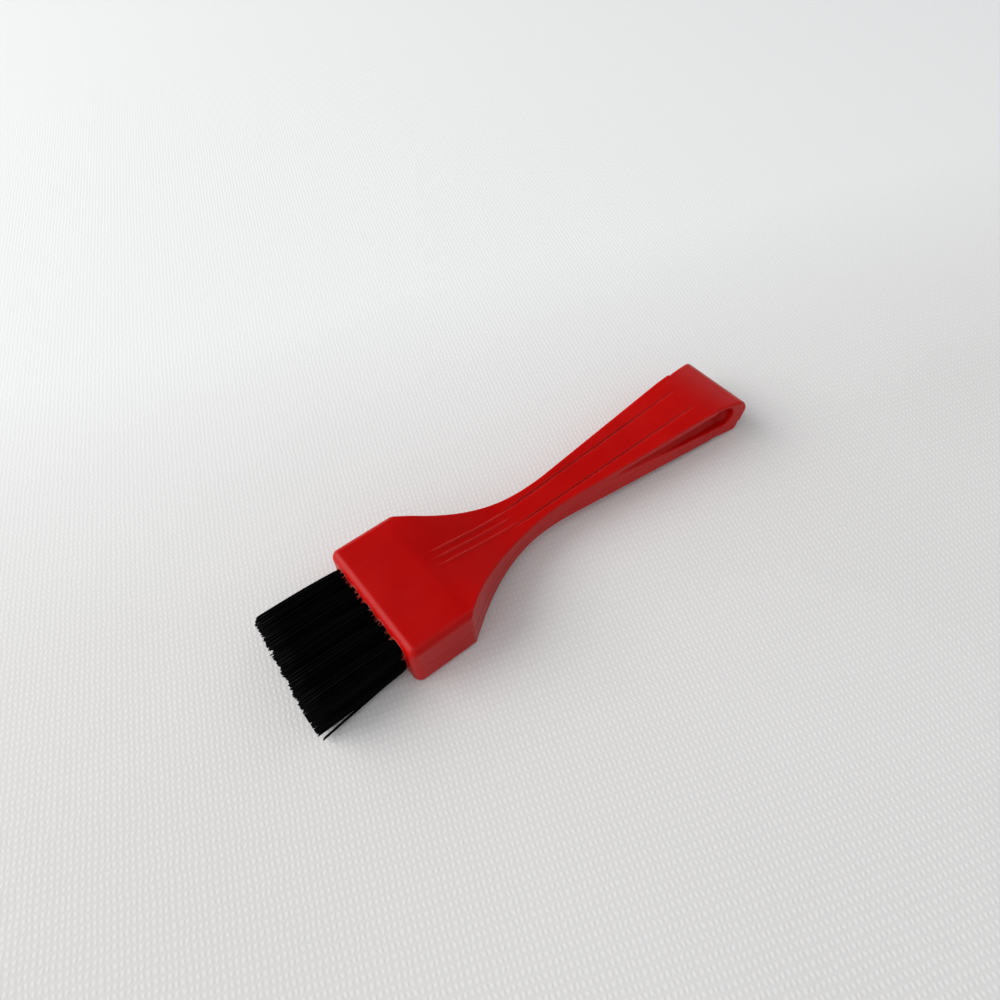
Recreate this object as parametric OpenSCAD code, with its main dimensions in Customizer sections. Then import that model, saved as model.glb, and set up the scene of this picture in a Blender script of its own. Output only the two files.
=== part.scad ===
// Typewriter cleaning brush: a moulded handle with bristle tufts set in its head.
// It lies flat: +X runs from the bristle tips to the chisel end, +Y across, +Z up.
// The origin is below the middle of the brush, on the plane of the head's underside.

/* [Head] */
// Width of the head, along the rows of tufts
head_w = 26; // [25:0.1:32]
// Thickness of the head
head_t = 10.8; // [10.5:0.1:13]
// Length of the straight sides of the head
head_l = 12; // [11.6:0.1:18]
// Length of the flat field on top of the head
field_l = 11.5; // [10.5:0.1:14]
// Radius round the front face
front_r = 1.5; // [0.5:0.1:2]
// Radius along the upper and lower edges of the head
edge_r = 0.6; // [0.2:0.1:1.2]

/* [Handle] */
// Radius of the hollow sides between head and neck
flare_r = 41; // [36:0.1:55]
// Width of the neck
neck_w = 7.4; // [6:0.1:10]
// Angle at which each side opens out behind the neck
side_angle = 4.9; // [3:0.05:6]
// Thickness of the neck
neck_t = 5; // [4.2:0.1:6.5]
// Distance from the front face to the thinnest place of the neck
hollow_x = 31.4; // [29:0.1:36]
// Radius of the hollows in top and bottom at the neck
hollow_r = 50; // [40:0.5:60]
// Angle at which top and bottom open out behind the neck
belly_angle = 2.7; // [2:0.05:3.2]
// Distance from the front face to the end of the flanges
flange_x = 77.4; // [72:0.1:86]

/* [Chisel end] */
// Length of the end block behind the flanges
block_l = 8.5; // [7:0.1:11]
// Width of the end block at its edge
block_w = 15.9; // [13:0.1:18]
// How far the block is set in from the flanges where it starts
block_inset = 0.15; // [0.1:0.05:0.8]
// Drop of the sloping top face over the block
block_drop = 1.8; // [1:0.1:2.6]
// Radius with which the sloping top rolls over into the end face
nose_r = 2.6; // [1:0.1:3.2]
// Radius of the end's corners, seen from above
corner_r = 1; // [0.6:0.1:1.4]
// Radius of the lower end edge
heel_r = 1.2; // [0.6:0.1:1.4]
// How far the end face leans in from top to bottom
heel_back = 1.3; // [0.5:0.1:1.8]

/* [Side recess] */
// Distance from the front face to the point of the recess
recess_x = 47.6; // [44:0.1:56]
// Distance from the end of the flanges to the centre of the round end
recess_end = 2.4; // [1.4:0.1:3]
// Radius of the round end
recess_r = 2.45; // [2:0.05:2.8]
// Thickness of the lip left above the point
lip_t = 1.45; // [1.1:0.05:1.8]
// Thickness of the lip left above the round end
lip_end_t = 0.9; // [0.5:0.1:1.2]
// Depth of the recess at its round end
recess_d = 2.2; // [0.6:0.1:2.6]
// Depth of the recess at its point
point_d = 0.1; // [0.05:0.05:0.4]

/* [Ribs and panel lines] */
// Width of each raised rib on the flare
rib_w = 0.6; // [0.4:0.1:1]
// Height of the ribs
rib_h = 0.25; // [0.15:0.05:0.4]
// Spacing of the ribs
rib_pitch = 1.8; // [1.4:0.05:2.2]
// Number of ribs
rib_count = 3; // [1:1:5]
// Distance from the front face to the start of the ribs
rib_x = 13; // [12.4:0.1:15]
// Length of the ribs
rib_l = 15; // [10:0.5:17]
// Width of the two fine lines that bound the centre panel
line_w = 0.45; // [0.3:0.05:0.7]
// Depth of the panel lines
line_d = 0.2; // [0.1:0.05:0.3]
// Width of the centre panel where the lines start
panel_w = 4.2; // [3.4:0.1:4.6]
// Angle at which each panel line opens out
panel_angle = 1.1; // [0.5:0.1:1.6]
// Gap between the end of the ribs and the start of the lines
panel_gap = 0.5; // [0.5:0.5:4]
// Distance that the lines stop short of the end of the flanges
panel_stop = 1.5; // [1:0.5:4]

/* [Tufts] */
// Number of tufts in each of the two rows
tuft_count = 5; // [3:1:5]
// Wall between the outermost holes and the sides of the head
side_wall = 2.85; // [1.6:0.05:2.95]
// Spacing of the two rows
row_pitch = 4.4; // [4.3:0.05:4.8]
// Diameter of the tuft holes
hole_d = 3.2; // [2.8:0.05:3.3]
// Depth of the tuft holes
hole_depth = 9; // [7:0.5:10]
// Length of the bristles in front of the head
bristle_l = 17.5; // [12:0.5:26]
// Clearance between a tuft and its hole or its anchor
tuft_gap = 0.1; // [0.05:0.05:0.2]
// Gap between neighbouring tufts at their tips
tip_gap = 0.15; // [0.1:0.05:0.6]
// Corner radius of the squarish end that a tuft spreads to
tip_r = 1.4; // [0.8:0.1:1.7]
// Angle of the worn line of tips: the tufts get shorter towards +Y
tip_slant = 4; // [0:0.5:8]

/* [Anchors] */
// Thickness of the flat anchor wire
anchor_t = 0.4; // [0.3:0.05:0.6]
// Size of the anchor along the hole
anchor_l = 1.6; // [1.2:0.1:2.2]
// How far each end of the anchor bites into the wall of the hole
anchor_bite = 0.25; // [0.15:0.05:0.3]
// Clearance between the anchor and the nicks that it cuts
anchor_gap = 0.02; // [0.01:0.01:0.05]
// Thickness of the folded bristles behind the anchor
fold_l = 1.3; // [0.8:0.1:2]

/* [Hidden] */
ROWS = ["lower", "upper"];
function tuft_names(kind) = [for (row = ROWS, i = [1:tuft_count]) str(kind, "_", row, "_", i)];

// Segments in the long arcs and in the small corner arcs of an outline
steps = 24;
corner_steps = 6;
// Thickness of the end slices that a tuft's spreading shape is stretched between
slice = 0.05;
// How far cutting shapes stand clear of what they cut
over = 1;

end_x = flange_x + block_l;
mid_x = (end_x - bristle_l) / 2;

// Sides of the handle seen from above: a hollow arc, then a straight taper
flare_y = neck_w / 2 + flare_r;
neck_x = head_l + sqrt(pow(flare_r, 2) - pow(flare_y - head_w / 2, 2));
flare_start = atan2(head_w / 2 - flare_y, head_l - neck_x);
side_x = neck_x + flare_r * sin(side_angle);
side_y = flare_y - flare_r * cos(side_angle);
function side_at(x) = side_y + (x - side_x) * tan(side_angle);

// Top of the handle seen from the side: a slope from the flat field, a hollow arc that
// it touches, then a straight taper that leaves the arc
hollow_z = neck_t / 2 + hollow_r;
crease_run = hollow_x - field_l;
crease_rise = hollow_z - head_t / 2;
dip_angle = asin(hollow_r / norm([crease_run, crease_rise])) - atan(crease_rise / crease_run);
belly_x = hollow_x + hollow_r * sin(belly_angle);
belly_z = hollow_z - hollow_r * cos(belly_angle);
function belly_at(x) = belly_z + (x - belly_x) * tan(belly_angle);

// Sloping top face of the chisel end
slope_angle = atan(block_drop / block_l);
function slope_at(x) = belly_at(flange_x) - (x - flange_x) * tan(slope_angle);

recess_end_x = flange_x + recess_end;
recess_point = [recess_x, belly_at(recess_x) - lip_t];
recess_centre = [recess_end_x, slope_at(recess_end_x) - lip_end_t - recess_r];

tuft_pitch = (head_w - 2 * side_wall - hole_d) / (tuft_count - 1);
bundle_d = hole_d - 2 * tuft_gap;
anchor_x = hole_depth - tuft_gap - fold_l - anchor_l;
anchor_w = hole_d + 2 * anchor_bite;
tip_w = min(tuft_pitch, row_pitch) - tip_gap;

function arc(centre, r, from, to, n) =
    [for (i = [0:n]) centre + r * [cos(from + (to - from) * i / n), sin(from + (to - from) * i / n)]];
function mirrored(points) = [for (i = [len(points) - 1:-1:0]) [points[i][0], -points[i][1]]];

// Half of the outline seen from above
function plan_half() = concat(
    arc([front_r, head_w / 2 - front_r], front_r, 180, 90, corner_steps),
    arc([neck_x, flare_y], flare_r, flare_start, -90 + side_angle, steps),
    [[flange_x, side_at(flange_x)], [flange_x + 2 * block_inset, side_at(flange_x) - block_inset]],
    arc([end_x - corner_r, block_w / 2 - corner_r], corner_r, 90, 0, corner_steps));

// Upper outline of the side view as far as the flanges reach, moved up by lift
function top_half(lift = 0) = concat(
    arc([front_r, head_t / 2 - front_r], front_r, 180, 90, corner_steps),
    [[field_l, head_t / 2 + lift]],
    arc([hollow_x, hollow_z + lift], hollow_r, 270 - dip_angle, 270 + belly_angle, steps),
    [[flange_x, belly_at(flange_x) + lift]]);
function nose() = arc([end_x - nose_r, slope_at(end_x) + nose_r * (tan(slope_angle / 2) - 1)],
    nose_r, 90 - slope_angle, 0, corner_steps);
function heel() = arc([end_x - heel_back - heel_r, -belly_at(end_x) + heel_r],
    heel_r, 0, -90, corner_steps);

// Turns an outline of the side view into a solid of width w across the brush
module across(w) {
    translate([0, w / 2, 0])
        rotate([90, 0, 0])
            linear_extrude(w)
                children();
}

// Puts a solid on one side, then its mirror image on the other
module both(normal) {
    children();
    mirror(normal) children();
}

// Cross section of the head with its rounded edges, drawn out along the brush
module head_section() {
    rotate([90, 0, 90])
        linear_extrude(end_x + over) {
            square([head_w, head_t - 2 * edge_r], center = true);
            square([head_w - 2 * edge_r, head_t], center = true);
            for (y = [-1, 1], z = [-1, 1])
                translate([y * (head_w / 2 - edge_r), z * (head_t / 2 - edge_r)])
                    circle(edge_r, $fn = 24);
        }
}

module body_blank() {
    intersection() {
        linear_extrude(head_t + over, center = true)
            polygon(concat(plan_half(), mirrored(plan_half())));
        across(head_w + over)
            polygon(concat(top_half(), nose(), heel(), mirrored(top_half())));
        head_section();
    }
}

// Long drop shape sunk into one side, shallow at its point and deep at its round end
module side_recess() {
    reach = recess_centre - recess_point;
    lean = atan2(reach[1], reach[0]);
    half_angle = asin(recess_r / norm(reach));
    intersection() {
        across(2 * head_w)
            polygon(concat([recess_point],
                arc(recess_centre, recess_r, lean - 90 - half_angle, lean + 90 + half_angle, steps)));
        linear_extrude(2 * head_t, center = true)
            polygon([
                [recess_x - over, head_w],
                [recess_x - over, side_at(recess_x - over) - point_d],
                [recess_x, side_at(recess_x) - point_d],
                [recess_end_x, side_at(recess_end_x) - recess_d],
                [end_x + over, side_at(end_x + over) - recess_d],
                [end_x + over, head_w]]);
    }
}

// Flat strip of width w between two points, seen from above
module strip(from, to, w) {
    run = to - from;
    translate(from)
        rotate(atan2(run[1], run[0]))
            translate([0, -w / 2])
                square([norm(run), w]);
}

// Ribs that rise out of the flare behind the flat field and run towards the neck
module ribs() {
    intersection() {
        linear_extrude(head_t / 2)
            for (i = [0:rib_count - 1]) {
                y = (i - (rib_count - 1) / 2) * rib_pitch;
                strip([rib_x, y], [rib_x + rib_l, y], rib_w);
            }
        across(head_w)
            polygon(concat(top_half(rib_h), [[flange_x, 0], [0, 0]]));
    }
}

// Shallow grooves that bound the centre panel of the handle
module panel_lines() {
    from_x = rib_x + rib_l + panel_gap;
    to_x = flange_x - panel_stop;
    opening = (to_x - from_x) * tan(panel_angle);
    difference() {
        linear_extrude(head_t)
            for (side = [-1, 1])
                strip([from_x, side * panel_w / 2], [to_x, side * (panel_w / 2 + opening)], line_w);
        across(head_w)
            polygon(concat(top_half(-line_d), [[flange_x, 0], [0, 0]]));
    }
}

// Blind hole for a tuft, with the nicks that the anchor cuts on its way in
module tuft_hole() {
    translate([-over, 0, 0])
        rotate([0, 90, 0])
            cylinder(d = hole_d, h = hole_depth + over, $fn = 48);
    translate([-over, -anchor_w / 2, -anchor_t / 2])
        cube([anchor_x + anchor_l + over, anchor_w, anchor_t]);
}

// Moves a piece from the front face's centre to the brush's own origin
module placed() {
    translate([-mid_x, 0, head_t / 2])
        children();
}

// Moves a piece to the mouth of a hole: row 0 is the lower one, i counts along +Y
module at_hole(row, i) {
    translate([0, (i - (tuft_count + 1) / 2) * tuft_pitch, (row - 0.5) * row_pitch])
        children();
}

module handle() {
    color("firebrick")
        placed()
            difference() {
                union() {
                    body_blank();
                    both([0, 0, 1]) ribs();
                }
                both([0, 0, 1]) panel_lines();
                both([0, 1, 0]) side_recess();
                for (row = [0, 1], i = [1:tuft_count])
                    at_hole(row, i) tuft_hole();
            }
}

// Part of a tuft in front of the head: round at the hole, squarish at its slanted tips
module spread(reach) {
    corner = tip_w / 2 - tip_r;
    hull() {
        rotate([0, 90, 0])
            cylinder(d = bundle_d, h = slice, $fn = 32);
        translate([-reach, 0, 0])
            rotate([0, 90, -tip_slant])
                for (y = [-1, 1], z = [-1, 1])
                    translate([z * corner, y * corner, 0])
                        cylinder(r = tip_r, h = slice, $fn = 24);
    }
}

// Bundle of bristles folded round its anchor in the hole and spreading in front of it
module tuft(row, i) {
    color("black")
        placed()
            at_hole(row, i) {
                difference() {
                    rotate([0, 90, 0])
                        cylinder(d = bundle_d, h = hole_depth - tuft_gap, $fn = 48);
                    translate([anchor_x - tuft_gap, -hole_d, -anchor_t / 2 - tuft_gap])
                        cube([anchor_l + 2 * tuft_gap, 2 * hole_d, anchor_t + 2 * tuft_gap]);
                }
                spread(bristle_l - sin(tip_slant) * tip_w / 2 - (i - 1) * tuft_pitch * tan(tip_slant));
            }
}

// Short piece of flat wire across the hole, held by its ends
module anchor(row, i) {
    color("silver")
        placed()
            at_hole(row, i)
                translate([anchor_x, anchor_gap - anchor_w / 2, anchor_gap - anchor_t / 2])
                    cube([anchor_l - anchor_gap, anchor_w - 2 * anchor_gap, anchor_t - 2 * anchor_gap]);
}

handle();
for (row = [0, 1], i = [1:tuft_count]) {
    tuft(row, i);
    anchor(row, i);
}
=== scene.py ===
import math

import bpy
import numpy as np
from mathutils import Matrix, Vector


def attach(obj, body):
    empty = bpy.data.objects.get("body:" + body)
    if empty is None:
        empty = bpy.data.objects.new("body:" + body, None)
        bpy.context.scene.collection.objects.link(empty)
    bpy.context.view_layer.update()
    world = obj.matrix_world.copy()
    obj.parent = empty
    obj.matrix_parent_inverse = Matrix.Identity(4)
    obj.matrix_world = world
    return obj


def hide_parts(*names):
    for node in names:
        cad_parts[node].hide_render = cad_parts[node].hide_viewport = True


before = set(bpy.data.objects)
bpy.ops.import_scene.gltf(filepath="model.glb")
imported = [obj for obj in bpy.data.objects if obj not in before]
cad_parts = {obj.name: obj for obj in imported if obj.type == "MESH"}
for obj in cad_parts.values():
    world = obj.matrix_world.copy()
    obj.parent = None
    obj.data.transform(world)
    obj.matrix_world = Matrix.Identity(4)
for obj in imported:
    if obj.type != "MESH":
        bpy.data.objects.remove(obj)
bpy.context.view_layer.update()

# Metres in a millimetre
MM = 0.001

# Sizes of the part in millimetres. They are those of its source, but the ribs, the panel lines,
# the recess's lip and the heel are finer here. X runs from the front face of the head to the
# chisel end, Y across, Z up from the middle plane.

# Head, flare, neck and taper, and the radii of their edges
HEAD_W, HEAD_T, HEAD_L, FIELD_L = 26.0, 10.8, 12.0, 11.5
FRONT_R, EDGE_R, FOOT_R, CORNER_BLEND, CREASE_BLEND = 1.5, 0.35, 0.65, 0.3, 0.1
FLARE_R, NECK_W, SIDE_ANGLE = 41.0, 7.4, math.radians(4.9)
NECK_T, HOLLOW_X, HOLLOW_R, BELLY_ANGLE = 5.0, 31.4, 50.0, math.radians(2.7)

# Slight dish across the hollow: rise by the square of Y, and where it comes and goes
DISH, DISH_IN, DISH_OUT = 0.0065, (-0.5, 5.0), (24.0, 36.0)

# Chisel end: block, its edges and heel, the lean of its face, and the ends of the flanges
FLANGE_X, BLOCK_L, BLOCK_W, BLOCK_INSET, BLOCK_DROP = 77.4, 8.5, 15.9, 0.15, 1.8
NOSE_R, CORNER_R, HEEL_R, HEEL_BACK, ROLL = 2.6, 0.6, 1.1, 1.3, 1.2
STEP_Z, STEP_D = -2.4, 0.35
FACE_H, FACE_Z, BLOCK_ROOT, SLOPE_FROM = 5.4, 0.3, 3.0, 60.0
FLANGE_LEAN, FLANGE_Z, FLANGE_R = 0.15, 3.0, 0.2

# Ribs on the flare and the two panel lines: size, and how far they take to come and go
RIB_W, RIB_H, RIB_PITCH, RIB_X, RIB_L = 0.38, 0.22, 1.65, 13.0, 17.5
RIB_IN, RIB_OUT = (-1.0, 5.0), (-4.0, 1.0)
LINE_W, LINE_D, PANEL_W, PANEL_ANGLE, PANEL_STOP = 0.42, 0.3, 3.9, math.radians(1.1), 1.5
LINE_IN, LINE_OUT, LINE_THIN, LINE_THIN_X = (-2.0, 3.0), 3.0, 0.4, 55.0
SEAM_W, SEAM_H, SEAM_Z, SEAM_X = 0.24, 0.05, -0.7, 0.5

# Recess in each side
RECESS_X, RECESS_END, RECESS_R = 47.6, 2.4, 2.45
LIP_T, LIP_END_T, RECESS_D, POINT_D = 1.2, 0.85, 2.2, 0.1
RECESS_FILLET, RECESS_EDGE_R = 1.2, 0.25

# Holes, the nicks of the anchors, and the tufts
TUFTS, SIDE_WALL, ROW_PITCH, HOLE_D, HOLE_DEPTH = 5, 2.85, 4.4, 3.2, 9.0
HOLE_FLOOR_R, HOLE_RIM_R = 0.2, 0.12
ANCHOR_T, ANCHOR_BITE, FOLD_L = 0.4, 0.25, 1.3
BRISTLE_L, TUFT_GAP, TIP_GAP, TIP_SLANT = 17.5, 0.1, 0.15, math.radians(4)

END_X = FLANGE_X + BLOCK_L
MID_X = (END_X - BRISTLE_L) / 2
HALF_W, HALF_T = HEAD_W / 2, HEAD_T / 2
LINE_X = RIB_X + RIB_L
TUFT_PITCH = (HEAD_W - 2 * SIDE_WALL - HOLE_D) / (TUFTS - 1)
TIP_W = TUFT_PITCH - TIP_GAP

# Centre and ends of the hollow arc of each side, and of the hollow in top and underside
FLARE_Y = NECK_W / 2 + FLARE_R
NARROW_X = HEAD_L + math.sqrt(FLARE_R**2 - (FLARE_Y - HALF_W) ** 2)
SIDE_X = NARROW_X + FLARE_R * math.sin(SIDE_ANGLE)
SIDE_Y = FLARE_Y - FLARE_R * math.cos(SIDE_ANGLE)
HOLLOW_Z = NECK_T / 2 + HOLLOW_R
CREASE = (HOLLOW_X - FIELD_L, HOLLOW_Z - HALF_T)
DIP = math.asin(HOLLOW_R / math.hypot(*CREASE)) - math.atan2(CREASE[1], CREASE[0])
DIP_X = HOLLOW_X - HOLLOW_R * math.sin(DIP)
BELLY_X = HOLLOW_X + HOLLOW_R * math.sin(BELLY_ANGLE)
BELLY_Z = HOLLOW_Z - HOLLOW_R * math.cos(BELLY_ANGLE)


def side_at(x):
    return SIDE_Y + (x - SIDE_X) * math.tan(SIDE_ANGLE)


def belly_at(x):
    return BELLY_Z + (x - BELLY_X) * math.tan(BELLY_ANGLE)


SLOPE = math.atan(BLOCK_DROP / BLOCK_L)
SLOPE_Z = belly_at(FLANGE_X)


def slope_at(x):
    return SLOPE_Z - (x - FLANGE_X) * math.tan(SLOPE)


# Small helpers for solids given by a signed distance, negative inside
def both(a, b, r):
    """Intersection of two solids with their common edge rounded to radius r."""
    return np.minimum(-r, np.maximum(a, b)) + np.hypot(np.maximum(a + r, 0), np.maximum(b + r, 0))


def less(a, b, r):
    """The first solid without the second."""
    return both(a, -b, r)


def ease(a, b, k):
    """Intersection of two nearly parallel surfaces, eased over where they differ by less than k."""
    h = np.maximum(k - np.abs(a - b), 0)
    return np.maximum(a, b) + h * h / (4 * k)


def ramp(x, a, b):
    """Zero before a, one after b, and smooth between."""
    t = np.clip((x - a) / (b - a), 0, 1)
    return t * t * (3 - 2 * t)


def ridge(off, width):
    """Bell shaped section, one in its middle."""
    return np.exp(-((off / (width * 0.5)) ** 2))


def below(x, z, x0, z0, angle):
    """Signed distance above the line through (x0, z0) that rises at the angle."""
    return (z - z0) * math.cos(angle) - (x - x0) * math.sin(angle)


def side_walls(x, y):
    """Plan of head, flare and taper up to the flanges' ends."""
    flare = FLARE_R - np.hypot(x - NARROW_X, y - FLARE_Y)
    taper = below(x, y, SIDE_X, SIDE_Y, SIDE_ANGLE)
    return both(y - HALF_W, np.where(x < SIDE_X, flare, taper), CORNER_BLEND)


def relief(x, y):
    """Height of the fine ribs on the flare, less the depth of the two panel lines."""
    comes = ramp(x, RIB_X + RIB_IN[0], RIB_X + RIB_IN[1])
    reach = comes * (1 - ramp(x, LINE_X + RIB_OUT[0], LINE_X + RIB_OUT[1]))
    height = 0
    for i in (-1, 0, 1):
        height = height + ridge(y - i * RIB_PITCH, RIB_W)
    to_x = FLANGE_X - PANEL_STOP
    line_y = PANEL_W / 2 + (x - LINE_X) * math.tan(PANEL_ANGLE)
    fade = ramp(x, LINE_X + LINE_IN[0], LINE_X + LINE_IN[1]) * (1 - ramp(x, to_x - LINE_OUT, to_x))
    fade = fade * (1 - LINE_THIN * ramp(x, LINE_THIN_X, to_x))
    return RIB_H * reach * height - LINE_D * fade * ridge(np.abs(y) - line_y, LINE_W)


def top_skin(x, y, z, upper):
    """Top of the handle: crease, hollow, straight taper and, on the upper side, the end's slope."""
    dish = DISH * y * y * ramp(x, FIELD_L + DISH_IN[0], FIELD_L + DISH_IN[1]) * (1 - ramp(x, *DISH_OUT))
    up = z - relief(x, y) - dish
    slope = below(x, up, FIELD_L, HALF_T, -DIP)
    hollow = HOLLOW_R - np.hypot(x - HOLLOW_X, up - HOLLOW_Z)
    taper = below(x, up, BELLY_X, BELLY_Z, BELLY_ANGLE)
    skin = np.where(x < DIP_X, slope, np.where(x < BELLY_X, hollow, taper))
    end_slope = below(x, up, FLANGE_X, SLOPE_Z, -SLOPE)
    return np.where(upper & (x > SLOPE_FROM), ease(skin, end_slope, ROLL), skin)


def chisel(x, y, z):
    """End block: a little narrower than the flanges, rolled over at the end, with a small step."""
    start_y = side_at(FLANGE_X) - BLOCK_INSET
    widen = math.atan((BLOCK_W / 2 - start_y) / (BLOCK_L - 2 * BLOCK_INSET))
    side = below(x, y, FLANGE_X + 2 * BLOCK_INSET, start_y, widen)
    lean = math.atan(HEEL_BACK / FACE_H)
    face = np.maximum(x - END_X, (x - END_X) * math.cos(lean) - (z - FACE_Z) * math.sin(lean))
    face = np.where(z < STEP_Z, face + STEP_D, face)
    skin = top_skin(x, y, np.abs(z), z > 0)
    block = both(face, skin, np.where(z > 0, NOSE_R, HEEL_R))
    block = both(side, block, np.where(z > 0, CORNER_R, FOOT_R))
    return np.maximum(block, FLANGE_X - BLOCK_ROOT - x)


def side_recess(x, y, z):
    """Long drop sunk into a side, deepening from its point to its round end."""
    end_x = FLANGE_X + RECESS_END
    point = (RECESS_X, belly_at(RECESS_X) - LIP_T)
    centre = (end_x, slope_at(end_x) - LIP_END_T - RECESS_R)
    run, rise = centre[0] - point[0], centre[1] - point[1]
    lean, half = math.atan2(rise, run), math.asin(RECESS_R / math.hypot(run, rise))
    upper = below(x, z, point[0], point[1], lean + half)
    lower = -below(x, z, point[0], point[1], lean - half)
    wedge = np.maximum(upper, lower)
    disc = np.hypot(x - centre[0], z - centre[1]) - RECESS_R
    past = (x - centre[0]) * math.cos(lean) + (z - centre[1]) * math.sin(lean)
    drop = np.where(past > 0, disc, wedge)
    deep = math.atan((side_at(RECESS_X) - POINT_D - side_at(end_x) + RECESS_D) / (RECESS_X - end_x))
    floor_y = side_at(end_x) - RECESS_D
    rise_in = np.where(x < end_x, math.tan(deep), math.tan(SIDE_ANGLE))
    floor_in = floor_y + (x - end_x) * rise_in - y
    return both(drop, floor_in, RECESS_FILLET)


def tuft_hole(x, y, z, cy, cz):
    """Blind hole with the nick that its anchor cuts in the wall."""
    bore = np.hypot(y - cy, z - cz) - HOLE_D / 2
    hole = both(bore, x - HOLE_DEPTH, HOLE_FLOOR_R)
    nick = np.maximum(np.abs(y - cy) - HOLE_D / 2 - ANCHOR_BITE, np.abs(z - cz) - ANCHOR_T / 2)
    nick = np.maximum(nick, x - HOLE_DEPTH + TUFT_GAP + FOLD_L)
    return np.minimum(hole, nick)


def handle_field(x, y, z):
    """Signed distance of the whole handle, near enough to it."""
    ay, az = np.abs(y), np.abs(z)
    top = ease(az - HALF_T, top_skin(x, y, az, z > 0), CREASE_BLEND)
    body = both(side_walls(x, ay), top, np.where(z > 0, EDGE_R, FOOT_R))
    front = both(-x, az - HALF_T, FRONT_R)
    front = both(front, ay - HALF_W, FRONT_R)
    body = np.maximum(body, front)
    body = both(body, x - FLANGE_X - FLANGE_LEAN * (az - FLANGE_Z), FLANGE_R)
    solid = np.minimum(body, chisel(x, ay, z))
    solid = less(solid, side_recess(x, ay, z), RECESS_EDGE_R)
    # A fine raised line where the two halves of the mould met
    seam = SEAM_H * ridge(z - SEAM_Z, SEAM_W)
    solid = solid - seam * (x > SEAM_X)
    for row in (-0.5, 0.5):
        for i in range(TUFTS):
            cy, cz = (i - (TUFTS - 1) / 2) * TUFT_PITCH, row * ROW_PITCH
            solid = less(solid, tuft_hole(x, y, z, cy, cz), HOLE_RIM_R)
    return solid


def grid_line(spans):
    """Grid coordinates from (start, end, step) spans."""
    parts = [np.linspace(a, b, max(2, int(round((b - a) / h)) + 1))[:-1] for a, b, h in spans]
    return np.concatenate(parts + [[spans[-1][1]]])


def mirrored(half):
    """Coordinates on both sides of zero from those on one side."""
    return np.concatenate([-half[:0:-1], half])


def crossings(inside, axis):
    """Both ends of the grid's edges along an axis, and which edges pass through the surface."""
    low, high = [slice(None)] * 3, [slice(None)] * 3
    low[axis], high[axis] = slice(None, -1), slice(1, None)
    low, high = tuple(low), tuple(high)
    return low, high, inside[low] != inside[high]


def surface_net(field, gx, gy, gz):
    """Turns the zero level of a field on a grid of its own spacing into quads."""
    vals = field(gx[:, None, None], gy[None, :, None], gz[None, None, :]).astype(np.float32)
    inside = vals < 0
    shape = (len(gx) - 1, len(gy) - 1, len(gz) - 1)
    axes = (gx, gy, gz)
    # One point in each cell that the surface passes, in the middle of its crossings
    total = np.zeros(shape + (3,))
    count = np.zeros(shape)
    for axis in range(3):
        others = [a for a in range(3) if a != axis]
        low, high, cross = crossings(inside, axis)
        idx = np.argwhere(cross)
        va, vb = vals[low][cross], vals[high][cross]
        t = va / (va - vb)
        pts = np.stack([axes[k][idx[:, k]] for k in range(3)], 1)
        step = axes[axis][idx[:, axis] + 1] - axes[axis][idx[:, axis]]
        pts[:, axis] += t * step
        for d0 in (0, -1):
            for d1 in (0, -1):
                cell = idx.copy()
                cell[:, others[0]] += d0
                cell[:, others[1]] += d1
                ok = np.ones(len(cell), bool)
                for k in range(3):
                    ok &= (cell[:, k] >= 0) & (cell[:, k] < shape[k])
                c = cell[ok]
                np.add.at(count, (c[:, 0], c[:, 1], c[:, 2]), 1)
                for k in range(3):
                    np.add.at(total[..., k], (c[:, 0], c[:, 1], c[:, 2]), pts[ok][:, k])
    used = count > 0
    number = np.full(shape, -1, np.int64)
    number[used] = np.arange(used.sum())
    verts = total[used] / count[used][:, None]
    # One quad round each edge of the grid that the surface crosses
    quads = []
    for axis in range(3):
        o0, o1 = (axis + 1) % 3, (axis + 2) % 3
        idx = np.argwhere(crossings(inside, axis)[2])
        keep = (idx[:, o0] > 0) & (idx[:, o1] > 0) & (idx[:, o0] < shape[o0]) & (idx[:, o1] < shape[o1])
        idx = idx[keep]
        corner = []
        for d0, d1 in ((-1, -1), (0, -1), (0, 0), (-1, 0)):
            cell = idx.copy()
            cell[:, o0] += d0
            cell[:, o1] += d1
            corner.append(number[cell[:, 0], cell[:, 1], cell[:, 2]])
        q = np.stack(corner, 1)
        out = inside[idx[:, 0], idx[:, 1], idx[:, 2]]
        q[~out] = q[~out][:, ::-1]
        quads.append(q)
    return verts, np.concatenate(quads)


def slopes(field, verts, h):
    """Slope of a field along each axis at many points."""
    x, y, z = verts.T
    pairs = ((field(x + h, y, z), field(x - h, y, z)), (field(x, y + h, z), field(x, y - h, z)),
             (field(x, y, z + h), field(x, y, z - h)))
    return np.stack([a - b for a, b in pairs], 1) / (2 * h)


def settle(field, verts, rounds=3, h=0.01, flattest=0.25, longest=0.08):
    """Moves each point onto the zero level along the field's slope, a short way each time."""
    for _ in range(rounds):
        f = field(*verts.T)
        g = slopes(field, verts, h)
        n2 = np.maximum((g * g).sum(1), flattest)
        move = -(f / n2)[:, None] * g
        length = np.maximum(np.linalg.norm(move, axis=1), 1e-9)
        move *= np.minimum(1, longest / length)[:, None]
        verts = verts + move
    return verts


def mesh_piece(name, verts_mm, faces, smooth=True):
    """Makes an object from points given in millimetres from the head's front face."""
    v = np.asarray(verts_mm, float) + np.array([-MID_X, 0, HALF_T])
    mesh = bpy.data.meshes.new(name)
    mesh.from_pydata((v * MM).tolist(), [], [list(map(int, f)) for f in faces])
    mesh.validate()
    mesh.polygons.foreach_set("use_smooth", [smooth] * len(mesh.polygons))
    mesh.update()
    piece = bpy.data.objects.new(name, mesh)
    bpy.context.scene.collection.objects.link(piece)
    return piece


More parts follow.
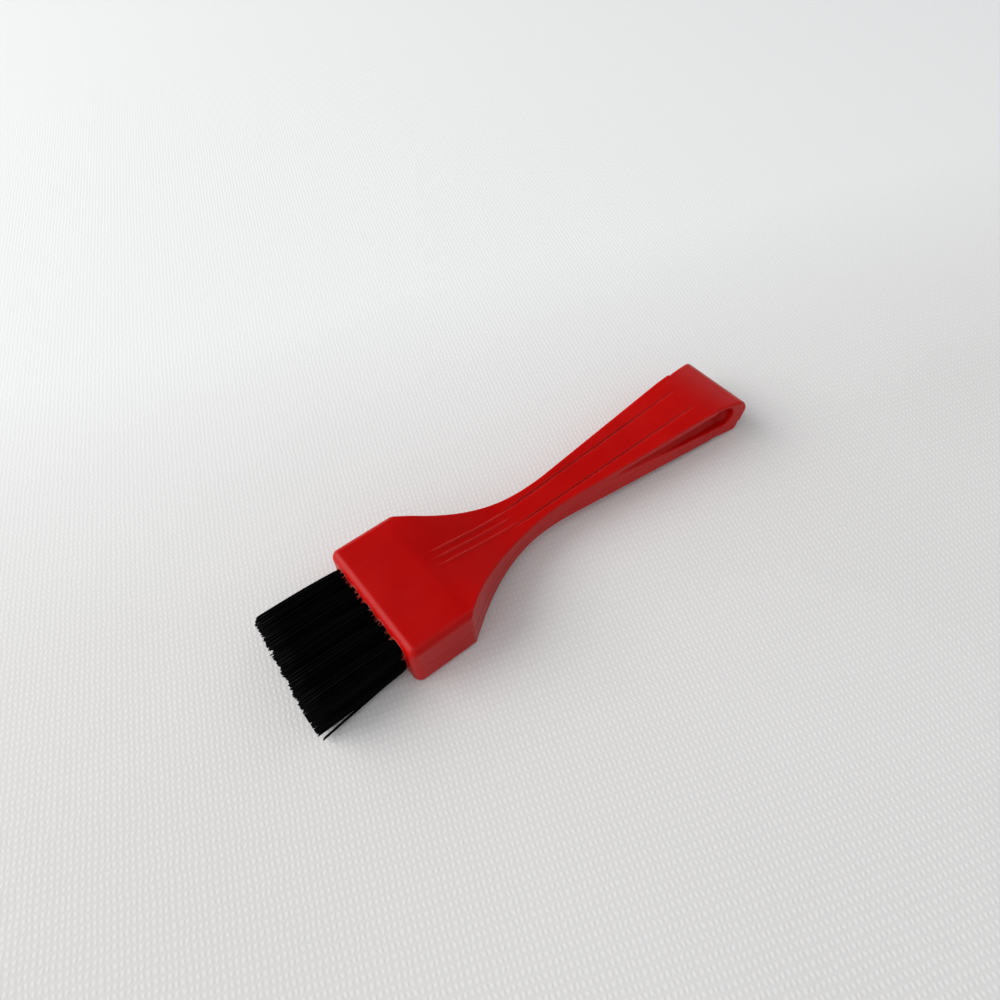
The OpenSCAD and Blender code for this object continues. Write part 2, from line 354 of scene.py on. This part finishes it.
# Grid of the handle's mesh as (start, end, step) along X and on one side of Y and Z, and the
# shift that keeps its planes off the flat faces. Normals are taken over a distance of their own.
GRID_X = ((-0.3, 2.1, 0.15), (2.1, 10.8, 0.58), (10.8, 13.8, 0.2), (13.8, 30.0, 0.4),
          (30.0, 46.0, 0.55), (46.0, 76.4, 0.5), (76.4, 82.6, 0.22), (82.6, 86.2, 0.15))
GRID_Y = ((0.0, 3.4, 0.11), (3.4, 5.0, 0.2), (5.0, 8.2, 0.17), (8.2, 11.8, 0.21), (11.8, 13.35, 0.14))
GRID_Z = ((0.0, 3.4, 0.15), (3.4, 5.7, 0.13))
GRID_SHIFT = (0.013, 0.007, 0.011)
NORMAL_STEP = 0.04


def make_handle():
    lines = (grid_line(GRID_X), mirrored(grid_line(GRID_Y)), mirrored(grid_line(GRID_Z)))
    verts, quads = surface_net(handle_field, *(line + shift for line, shift in zip(lines, GRID_SHIFT)))
    verts = settle(handle_field, verts)
    piece = mesh_piece("handle_moulding", verts, quads)
    normals = slopes(handle_field, verts, NORMAL_STEP)
    normals /= np.maximum(np.linalg.norm(normals, axis=1), 1e-9)[:, None]
    piece.data.normals_split_custom_set_from_vertices(normals.tolist())
    return piece


# Nodes of a material by short calls
class Shader:
    def __init__(self, name):
        self.mat = bpy.data.materials.new(name)
        self.mat.use_nodes = True
        self.nodes, self.links = self.mat.node_tree.nodes, self.mat.node_tree.links
        self.bsdf = self.nodes["Principled BSDF"]
        self.coords = self.nodes.new("ShaderNodeTexCoord").outputs["Object"]

    def set(self, **values):
        for key, value in values.items():
            self.bsdf.inputs[key.replace("_", " ")].default_value = value

    def join(self, a, b):
        self.links.new(a, b)

    def stretch(self, sx, sy, sz, turn=0.0, vector=None):
        node = self.nodes.new("ShaderNodeMapping")
        node.inputs["Scale"].default_value = (sx, sy, sz)
        node.inputs["Rotation"].default_value = (0, 0, turn)
        self.join(vector or self.coords, node.inputs["Vector"])
        return node.outputs["Vector"]

    def noise(self, scale, detail=2.0, rough=0.5, vector=None, output="Fac"):
        node = self.nodes.new("ShaderNodeTexNoise")
        node.inputs["Scale"].default_value = scale
        node.inputs["Detail"].default_value = detail
        node.inputs["Roughness"].default_value = rough
        self.join(vector or self.coords, node.inputs["Vector"])
        return node.outputs[output]

    def wave(self, pitch, distortion, vector):
        node = self.nodes.new("ShaderNodeTexWave")
        node.inputs["Scale"].default_value = 2 * math.pi / pitch / 20
        node.inputs["Distortion"].default_value = distortion
        self.join(vector, node.inputs["Vector"])
        return node.outputs["Fac"]

    def axis(self, name):
        node = self.nodes.new("ShaderNodeSeparateXYZ")
        self.join(self.coords, node.inputs[0])
        return node.outputs[name]

    def span(self, value, a, b, lo=0.0, hi=1.0):
        """From lo to hi as the value goes from a to b."""
        node = self.nodes.new("ShaderNodeMapRange")
        for key, number in (("From Min", a), ("From Max", b), ("To Min", lo), ("To Max", hi)):
            node.inputs[key].default_value = number
        self.join(value, node.inputs["Value"])
        return node.outputs["Result"]

    def math(self, kind, *values):
        node = self.nodes.new("ShaderNodeMath")
        node.operation = kind
        for socket, value in zip(node.inputs, values):
            if isinstance(value, (int, float)):
                socket.default_value = value
            else:
                self.join(value, socket)
        return node.outputs["Value"]

    def mix(self, fac, a, b):
        node = self.nodes.new("ShaderNodeMix")
        node.data_type = "RGBA"
        self.join(fac, node.inputs["Factor"])
        for key, value in (("A", a), ("B", b)):
            socket = next(s for s in node.inputs if s.name == key and s.type == "RGBA")
            if isinstance(value, tuple):
                socket.default_value = (*value, 1.0)
            else:
                self.join(value, socket)
        return next(s for s in node.outputs if s.type == "RGBA")

    def bump(self, height, distance, strength=1.0):
        node = self.nodes.new("ShaderNodeBump")
        node.inputs["Strength"].default_value = strength
        node.inputs["Distance"].default_value = distance
        self.join(height, node.inputs["Height"])
        self.join(node.outputs["Normal"], self.bsdf.inputs["Normal"])

    def edges(self, radius, lo=0.02, hi=0.2):
        """One at sharp convex edges and zero on flats, from the bevelled normal."""
        bevel = self.nodes.new("ShaderNodeBevel")
        bevel.inputs["Radius"].default_value = radius
        geo = self.nodes.new("ShaderNodeNewGeometry")
        dot = self.nodes.new("ShaderNodeVectorMath")
        dot.operation = "DOT_PRODUCT"
        self.join(bevel.outputs["Normal"], dot.inputs[0])
        self.join(geo.outputs["Normal"], dot.inputs[1])
        return self.span(self.math("SUBTRACT", 1.0, dot.outputs["Value"]), lo, hi)


# Reds of the plastic: clouded body, grime, painted shade in the lines, worn edges with a painted highlight,
# rough mouths
RED, RED_PALE = (0.41, 0.0012, 0.0009), (0.48, 0.0024, 0.0017)
RED_GRIME, RED_LINE_SHADE = (0.22, 0.012, 0.01), (0.2, 0.001, 0.001)
RED_WORN_AND_HIGHLIGHT, RED_ROUGH = (0.62, 0.11, 0.09), (0.62, 0.25, 0.22)
RED_DEPTH = (1.0, 0.12, 0.06)

# Blacks of the bristles, greys of the anchors, and the table cloth with its weave in metres
BLACK, BLACK_PALE = (0.0004, 0.0004, 0.0005), (0.0016, 0.0015, 0.0017)
STEEL, STEEL_PALE = (0.42, 0.42, 0.41), (0.62, 0.62, 0.6)
CLOTH_PITCH, CLOTH_TURN = 0.0009, 0.35
# The last cloth colour is painted light: the cloth is paler towards the back, where more light falls.
CLOTH_DARK, CLOTH_LIGHT, CLOTH_PAINTED_LIGHT = (0.71, 0.695, 0.68), (0.79, 0.775, 0.76), (0.87, 0.87, 0.86)


def painted_line_shade(s):
    """Where shade is painted dark into the two long lines of the top and the underside."""
    across, along = s.math("ABSOLUTE", s.axis("Y")), s.axis("X")
    start = LINE_X - MID_X
    line_y = s.math("MULTIPLY_ADD", along, math.tan(PANEL_ANGLE),
                    (PANEL_W / 2 - start * math.tan(PANEL_ANGLE)) * MM)
    off_line = s.math("ABSOLUTE", s.math("SUBTRACT", across, line_y))
    line_shade_mask = s.math("MULTIPLY", s.span(off_line, 0.0001, 0.0003, 1.0, 0.0),
                  s.math("MULTIPLY", s.span(along, (start - 2) * MM, (start + 4) * MM),
                         s.span(along, 0.028, 0.042, 1.0, 0.15)))
    return s.math("MULTIPLY", line_shade_mask, s.span(s.noise(90, 2), 0.35, 0.65, 0.15, 0.5))


def rough_mouths(s):
    """Where the plastic is pale and rough round the mouths of the holes."""
    across, along = s.math("ABSOLUTE", s.axis("Y")), s.axis("X")
    hole_y = s.math("WRAP", s.axis("Y"), TUFT_PITCH / 2 * MM, -TUFT_PITCH / 2 * MM)
    hole_z = s.math("SUBTRACT", s.math("ABSOLUTE", s.math("SUBTRACT", s.axis("Z"), HALF_T * MM)),
                    ROW_PITCH / 2 * MM)
    to_hole = s.math("SQRT", s.math("ADD", s.math("MULTIPLY", hole_y, hole_y),
                                    s.math("MULTIPLY", hole_z, hole_z)))
    ring = s.math("MULTIPLY", s.span(to_hole, HOLE_D / 2 * MM, (HOLE_D / 2 + 0.8) * MM, 1.0, 0.0),
                  s.span(across, 0.0104, 0.0108, 1.0, 0.0))
    front = s.span(along, (0.55 - MID_X) * MM, (0.15 - MID_X) * MM)
    patch = s.span(s.noise(1900, 3, 0.6), 0.42, 0.6)
    return s.math("MULTIPLY", s.math("MULTIPLY", ring, front), patch)


def red_plastic():
    s = Shader("red_plastic")
    s.set(IOR=1.5, Subsurface_Weight=0.35, Subsurface_Scale=0.0025, Subsurface_Radius=RED_DEPTH,
          Specular_IOR_Level=0.15)
    cloud = s.span(s.noise(55, 3), 0.35, 0.68)
    base = s.mix(cloud, RED, RED_PALE)
    grime = s.span(s.noise(1100, 4, 0.65), 0.6, 0.78)
    base = s.mix(s.math("MULTIPLY", grime, 0.22), base, RED_GRIME)
    # Painted shade: the two long lines are darkened where shade falls in them.
    base = s.mix(painted_line_shade(s), base, RED_LINE_SHADE)
    # Pale colour on sharp edges: partly wear, partly a painted highlight where light catches them.
    wear_and_highlight = s.math("MULTIPLY", s.edges(0.0003), s.span(s.noise(1300, 3), 0.42, 0.62))
    base = s.mix(s.math("MULTIPLY", wear_and_highlight, 0.65), base, RED_WORN_AND_HIGHLIGHT)
    base = s.mix(s.math("MULTIPLY", rough_mouths(s), 0.75), base, RED_ROUGH)
    s.join(base, s.bsdf.inputs["Base Color"])
    scratch = s.span(s.noise(1500, 2, 0.6, s.stretch(0.05, 1.0, 1.0, 0.35)), 0.62, 0.7)
    rough = s.math("ADD", s.span(s.noise(160, 4), 0.3, 0.7, 0.3, 0.4), s.math("MULTIPLY", scratch, 0.1))
    s.join(s.math("ADD", rough, s.math("MULTIPLY", wear_and_highlight, 0.2)), s.bsdf.inputs["Roughness"])
    height = s.math("ADD", s.math("MULTIPLY", s.noise(2600, 3, 0.6), 0.25), s.noise(260, 1))
    s.bump(s.math("SUBTRACT", height, s.math("MULTIPLY", scratch, 0.15)), 0.00003, 0.35)
    return s.mat


def black_nylon():
    s = Shader("black_nylon")
    s.set(IOR=1.5, Specular_IOR_Level=0.03)
    streak = s.noise(2300, 2, 0.5, s.stretch(0.04, 1, 1))
    s.join(s.mix(s.span(streak, 0.35, 0.7), BLACK, BLACK_PALE), s.bsdf.inputs["Base Color"])
    s.join(s.span(s.noise(900, 3), 0.3, 0.7, 0.3, 0.5), s.bsdf.inputs["Roughness"])
    s.bump(s.noise(6000, 2, 0.5, s.stretch(0.2, 1, 1)), 0.00001, 0.4)
    return s.mat


def drawn_steel():
    s = Shader("drawn_steel")
    s.set(Metallic=1.0)
    grain = s.noise(5000, 3, 0.6, s.stretch(1, 0.05, 1))
    s.join(s.mix(grain, STEEL, STEEL_PALE), s.bsdf.inputs["Base Color"])
    s.join(s.span(grain, 0.3, 0.7, 0.22, 0.4), s.bsdf.inputs["Roughness"])
    s.bump(grain, 0.00001, 0.5)
    return s.mat


def pale_cloth():
    """Fine weave of two wobbling waves, with painted light making it paler towards the back."""
    s = Shader("pale_cloth")
    s.set(Roughness=0.9, Specular_IOR_Level=0.1)
    wobble = s.nodes.new("ShaderNodeVectorMath")
    wobble.operation = "MULTIPLY_ADD"
    s.join(s.noise(400, 2, 0.5, s.coords, "Color"), wobble.inputs[0])
    wobble.inputs[1].default_value = (CLOTH_PITCH * 0.9,) * 3
    s.join(s.coords, wobble.inputs[2])
    warp, weft = (s.wave(pitch, 0.8, s.stretch(1, 1, 1, turn, wobble.outputs["Vector"]))
                  for turn, pitch in ((CLOTH_TURN, CLOTH_PITCH),
                                      (CLOTH_TURN + math.pi / 2, CLOTH_PITCH * 1.35)))
    weave = s.math("MULTIPLY", warp, weft)
    tone = s.math("ADD", s.math("MULTIPLY", weave, 0.5), s.noise(9, 3))
    cloth = s.mix(s.span(tone, 0.3, 1.0), CLOTH_DARK, CLOTH_LIGHT)
    # Painted light: a ramp that pales the cloth towards the back.
    back = s.math("ADD", s.math("MULTIPLY", s.axis("X"), 0.33), s.axis("Y"))
    s.join(s.mix(s.span(back, 0.005, 0.085), cloth, CLOTH_PAINTED_LIGHT), s.bsdf.inputs["Base Color"])
    s.bump(weave, 0.0001, 0.4)
    return s.mat


# Bristles of one tuft: how many ends stand in a hole, their thickness, points along and round
# each, how deep they are drawn, and how they spread from the round hole to a squarish block
FILAMENTS, FILAMENT_D, RINGS, SIDES, ROOT_X = 112, 0.265, 7, 6, 2.0
SQUARENESS, SWELL, CLOSE_UP, TIP_EDGE, INNER = 3.2, 0.4, 1.12, 0.14, 0.8

# Their raggedness: overshoot, length of clumps and single ends, bow, clinging and hanging
OVERSHOOT, LONGEST, SHORTFALL = 0.12, 0.15, 0.18
CLUMPS, CLUMP_LENGTH, OWN_LENGTH = 12, 0.22, 0.14
BOW, BOW_OUT, BOW_SHARE, CLING, WANDER = 0.12, 0.16, 0.6, 0.25, 0.08
HANG, HANG_MOST, HANG_BELOW = 0.25, 0.9, -0.8

# Three loose bristles at the near side, from the head to their tips
STRAY_STARTS = ((0.6, -9.75, -3.2), (0.6, -9.6, -3.0), (0.6, -9.7, -3.4))
STRAY_ENDS = ((-17.3, -11.35, -4.2), (-17.1, -11.12, -4.3), (-14.9, -10.9, -4.5))
STRAY_RINGS = 9

# Shavings at the mouths: how many, share of each row, place off the rim, length and thickness
BURRS, BURR_ROWS, BURR_RINGS, BURR_SIDES = 150, (0.3, 0.7), 4, 4
BURR_OFF, BURR_L, BURR_R, BURR_ROOT, BURR_TAPER = (0.05, 0.3), (0.3, 0.75), (0.07, 0.13), 0.15, 0.75


def sweep(paths, radius, sides=SIDES):
    """Closed thin rods along many paths of equal length, given as (rod, point, xyz)."""
    rods, rings = paths.shape[:2]
    turn = np.arange(sides) * 2 * math.pi / sides
    circle = np.stack([np.zeros(sides), np.cos(turn), np.sin(turn)], 1)
    wide = np.broadcast_to(radius, (rods, rings))[:, :, None, None]
    verts = (paths[:, :, None, :] + circle[None, None] * wide).reshape(-1, 3)
    base = (np.arange(rods)[:, None] * rings + np.arange(rings)[None]) * sides
    i = np.arange(sides)
    j = (i + 1) % sides
    a, b = base[:, :-1, None], base[:, 1:, None]
    quads = np.stack([a + i, a + j, b + j, b + i], -1).reshape(-1, 4)
    ends = [list(first + i[::-1]) for first in base[:, 0]] + [list(last + i) for last in base[:, -1]]
    return verts, [list(q) for q in quads] + ends


def make_tuft(row, i, rng):
    """Bristle ends that stand close in the hole and spread towards ragged tips."""
    centre = np.array([0, (i - (TUFTS - 1) / 2) * TUFT_PITCH, (row - 0.5) * ROW_PITCH])
    k = np.arange(FILAMENTS)
    rad = np.sqrt((k + 0.5) / FILAMENTS)
    angle = k * math.pi * (3 - math.sqrt(5)) + rng.uniform(0, 6.28)
    spot = np.stack([np.cos(angle), np.sin(angle)], 1) * rad[:, None]
    root = spot * (HOLE_D / 2 - TUFT_GAP - FILAMENT_D / 2)
    square = (np.abs(np.cos(angle)) ** SQUARENESS + np.abs(np.sin(angle)) ** SQUARENESS) ** (-1 / SQUARENESS)
    tip = spot * square[:, None] * (TIP_W / 2 - FILAMENT_D / 2)
    # The tufts of a row close up at their tips
    widest = TUFT_PITCH / 2 - TIP_EDGE
    tip[:, 0] = np.clip(tip[:, 0] * CLOSE_UP, -widest, widest)
    inner = (rad < INNER)[:, None]
    from_edge = centre[1] + tip[:, 0] + (TUFTS - 1) / 2 * TUFT_PITCH + TIP_W / 2
    reach = BRISTLE_L + OVERSHOOT - from_edge * math.tan(TIP_SLANT)
    clump = tip[rng.integers(0, FILAMENTS, CLUMPS)]
    member = np.argmin(np.linalg.norm(tip[:, None] - clump[None], axis=2), axis=1)
    length = reach + rng.normal(0, CLUMP_LENGTH, CLUMPS)[member] + rng.normal(0, OWN_LENGTH, FILAMENTS)
    length = np.minimum(length - rng.exponential(SHORTFALL, FILAMENTS), BRISTLE_L + LONGEST)
    bow = rng.normal(0, BOW, (FILAMENTS, 2)) + spot * BOW_OUT
    # Neighbouring bristles cling together in clumps near their tips
    pull = (clump[member] - tip) * rng.uniform(0.0, CLING, (FILAMENTS, 1))
    tip = tip + (pull + rng.normal(0, WANDER, (FILAMENTS, 2))) * inner
    if row == 0:
        # A few bristles of the lower row hang towards the table
        tip[:, 1] -= np.minimum(rng.exponential(HANG, FILAMENTS), HANG_MOST) * (tip[:, 1] < HANG_BELOW)
    s = np.linspace(0, 1, RINGS)
    paths = np.zeros((FILAMENTS, RINGS, 3))
    paths[:, :, 0] = ROOT_X - s[None] * (length[:, None] + ROOT_X)
    paths[:, :, 1:] = root[:, None] + (tip - root)[:, None] * (s**SWELL)[None, :, None]
    paths[:, :, 1:] += bow[:, None] * np.sin(math.pi * s)[None, :, None] * BOW_SHARE
    verts, faces = sweep(paths + centre, FILAMENT_D / 2)
    return mesh_piece("bristles_%s_%d" % (("lower", "upper")[row], i + 1), verts, faces)


def stray_bristles(rng):
    """Loose bristles that stand apart from the block at the near side."""
    s = np.linspace(0, 1, STRAY_RINGS)
    starts, ends = np.array(STRAY_STARTS), np.array(STRAY_ENDS)
    paths = starts[:, None] + (ends - starts)[:, None] * s[None, :, None]
    paths[:, :, 1] += rng.uniform(0.0, 0.1, len(starts))[:, None] * np.sin(math.pi * s)
    verts, faces = sweep(paths, FILAMENT_D / 2)
    return mesh_piece("bristles_stray", verts, faces)


def mouth_burrs(rng):
    """Shavings that the drill left standing round the mouths of the holes."""
    hole = rng.integers(0, TUFTS, BURRS)
    row = rng.choice((-0.5, 0.5), BURRS, p=BURR_ROWS)
    turn = rng.uniform(0, 2 * math.pi, BURRS)
    out = np.stack([np.cos(turn), np.sin(turn)], 1)
    root = out * (HOLE_D / 2 + rng.uniform(*BURR_OFF, BURRS))[:, None]
    root += np.stack([(hole - (TUFTS - 1) / 2) * TUFT_PITCH, row * ROW_PITCH], 1)
    length = rng.uniform(*BURR_L, BURRS)
    bend = rng.normal(0, 0.35, (BURRS, 2)) + out * 0.3
    s = np.linspace(0, 1, BURR_RINGS)
    paths = np.zeros((BURRS, BURR_RINGS, 3))
    paths[:, :, 0] = BURR_ROOT - s * (length + BURR_ROOT)[:, None]
    paths[:, :, 1:] = root[:, None] + (bend * length[:, None])[:, None] * (s**2)[None, :, None]
    wide = rng.uniform(*BURR_R, BURRS)[:, None] * (1 - BURR_TAPER * s)[None]
    verts, faces = sweep(paths, wide, BURR_SIDES)
    return mesh_piece("mouth_burrs", verts, faces, smooth=False)


# Light: way, distance, size, power in watts and colour of the lamp. The sky's strength goes from
# one value to another as its way turns towards the dim and the bright part of the room.
KEY_WAY, KEY_DISTANCE, KEY_SIZE, KEY_POWER = (-0.63, 0.48, 0.62), 1.0, 0.8, 5.2
KEY_COLOUR, SKY_COLOUR = (1.0, 0.985, 0.96), (0.95, 0.97, 1.0)
DIM_WAY, DIM_SKY = (0.35, 0.50, 0.79), (0.6, 0.95, 1.0, 0.05)
BRIGHT_WAY, BRIGHT_SKY = (-0.30, 0.93, 0.20), (-0.9, 0.9, 0.42, 1.60)

# Camera: focal length in mm, angles down, round and rolled in degrees, place in mm
CAMERA_LENS = 26.737
CAMERA_ANGLES = (52.50, 54.99, -3.75)
CAMERA_PLACE = (-51.21, -64.43, 117.53)

# Half the floor's width in metres
FLOOR = 1.6


def make_floor():
    mesh = bpy.data.meshes.new("floor")
    corners = [(-FLOOR, -FLOOR, 0), (FLOOR, -FLOOR, 0), (FLOOR, FLOOR, 0), (-FLOOR, FLOOR, 0)]
    mesh.from_pydata(corners, [], [(0, 1, 2, 3)])
    floor = bpy.data.objects.new("floor", mesh)
    bpy.context.scene.collection.objects.link(floor)
    mesh.materials.append(pale_cloth())


def make_lamp():
    """One big soft lamp."""
    data = bpy.data.lights.new("key", "AREA")
    data.shape = "DISK"
    data.size, data.energy, data.color = KEY_SIZE, KEY_POWER, KEY_COLOUR
    lamp = bpy.data.objects.new("key", data)
    way = Vector(KEY_WAY).normalized()
    lamp.location = way * KEY_DISTANCE
    lamp.rotation_euler = way.to_track_quat("Z", "Y").to_euler()
    bpy.context.scene.collection.objects.link(lamp)


def sky_part(nodes, links, way, values):
    """Strength that eases from one value to another as the sky's way turns towards a way."""
    aim = nodes.new("ShaderNodeVectorMath")
    aim.operation = "DOT_PRODUCT"
    aim.inputs[1].default_value = way
    links.new(nodes.new("ShaderNodeTexCoord").outputs["Generated"], aim.inputs[0])
    span = nodes.new("ShaderNodeMapRange")
    span.interpolation_type = "SMOOTHSTEP"
    for key, value in zip(("From Min", "From Max", "To Min", "To Max"), values):
        span.inputs[key].default_value = value
    links.new(aim.outputs["Value"], span.inputs["Value"])
    return span.outputs["Result"]


def make_sky():
    """A bright room, dim above the brush and on the camera's side."""
    world = bpy.data.worlds.new("studio")
    world.use_nodes = True
    nodes, links = world.node_tree.nodes, world.node_tree.links
    product = nodes.new("ShaderNodeMath")
    product.operation = "MULTIPLY"
    links.new(sky_part(nodes, links, DIM_WAY, DIM_SKY), product.inputs[0])
    links.new(sky_part(nodes, links, BRIGHT_WAY, BRIGHT_SKY), product.inputs[1])
    back = nodes["Background"]
    links.new(product.outputs["Value"], back.inputs["Strength"])
    back.inputs["Color"].default_value = (*SKY_COLOUR, 1.0)
    bpy.context.scene.world = world


def make_camera():
    data = bpy.data.cameras.new("camera")
    data.lens, data.sensor_width, data.sensor_fit = CAMERA_LENS, 36.0, "HORIZONTAL"
    data.clip_start, data.clip_end = 0.005, 20.0
    camera = bpy.data.objects.new("camera", data)
    pitch, yaw, roll = (math.radians(a) for a in CAMERA_ANGLES)
    ahead = Vector((math.cos(pitch) * math.cos(yaw), math.cos(pitch) * math.sin(yaw), -math.sin(pitch)))
    side = Vector((math.sin(yaw), -math.cos(yaw), 0.0))
    up = side.cross(ahead)
    right = side * math.cos(roll) + up * math.sin(roll)
    top = up * math.cos(roll) - side * math.sin(roll)
    turn = Matrix((right, top, -ahead)).transposed()
    camera.matrix_world = Matrix.Translation(Vector(CAMERA_PLACE) * MM) @ turn.to_4x4()
    bpy.context.scene.collection.objects.link(camera)
    bpy.context.scene.camera = camera


def dress(piece, material, nodes):
    """Gives a piece its material and body, and hides the solids that it takes the place of."""
    piece.data.materials.append(material)
    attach(piece, "root")
    if nodes:
        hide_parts(*nodes)


def main():
    rng = np.random.default_rng(7)
    plastic = red_plastic()
    dress(make_handle(), plastic, ["handle"])
    nylon, steel = black_nylon(), drawn_steel()
    for row, name in enumerate(("lower", "upper")):
        for i in range(TUFTS):
            dress(make_tuft(row, i, rng), nylon, ["tuft_%s_%d" % (name, i + 1)])
            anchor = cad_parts["anchor_%s_%d" % (name, i + 1)]
            anchor.data.materials.clear()
            anchor.data.materials.append(steel)
    dress(stray_bristles(rng), nylon, [])
    dress(mouth_burrs(rng), plastic, [])
    make_floor()
    make_lamp()
    make_sky()
    make_camera()
    bpy.context.scene.view_settings.view_transform = "Standard"


main()
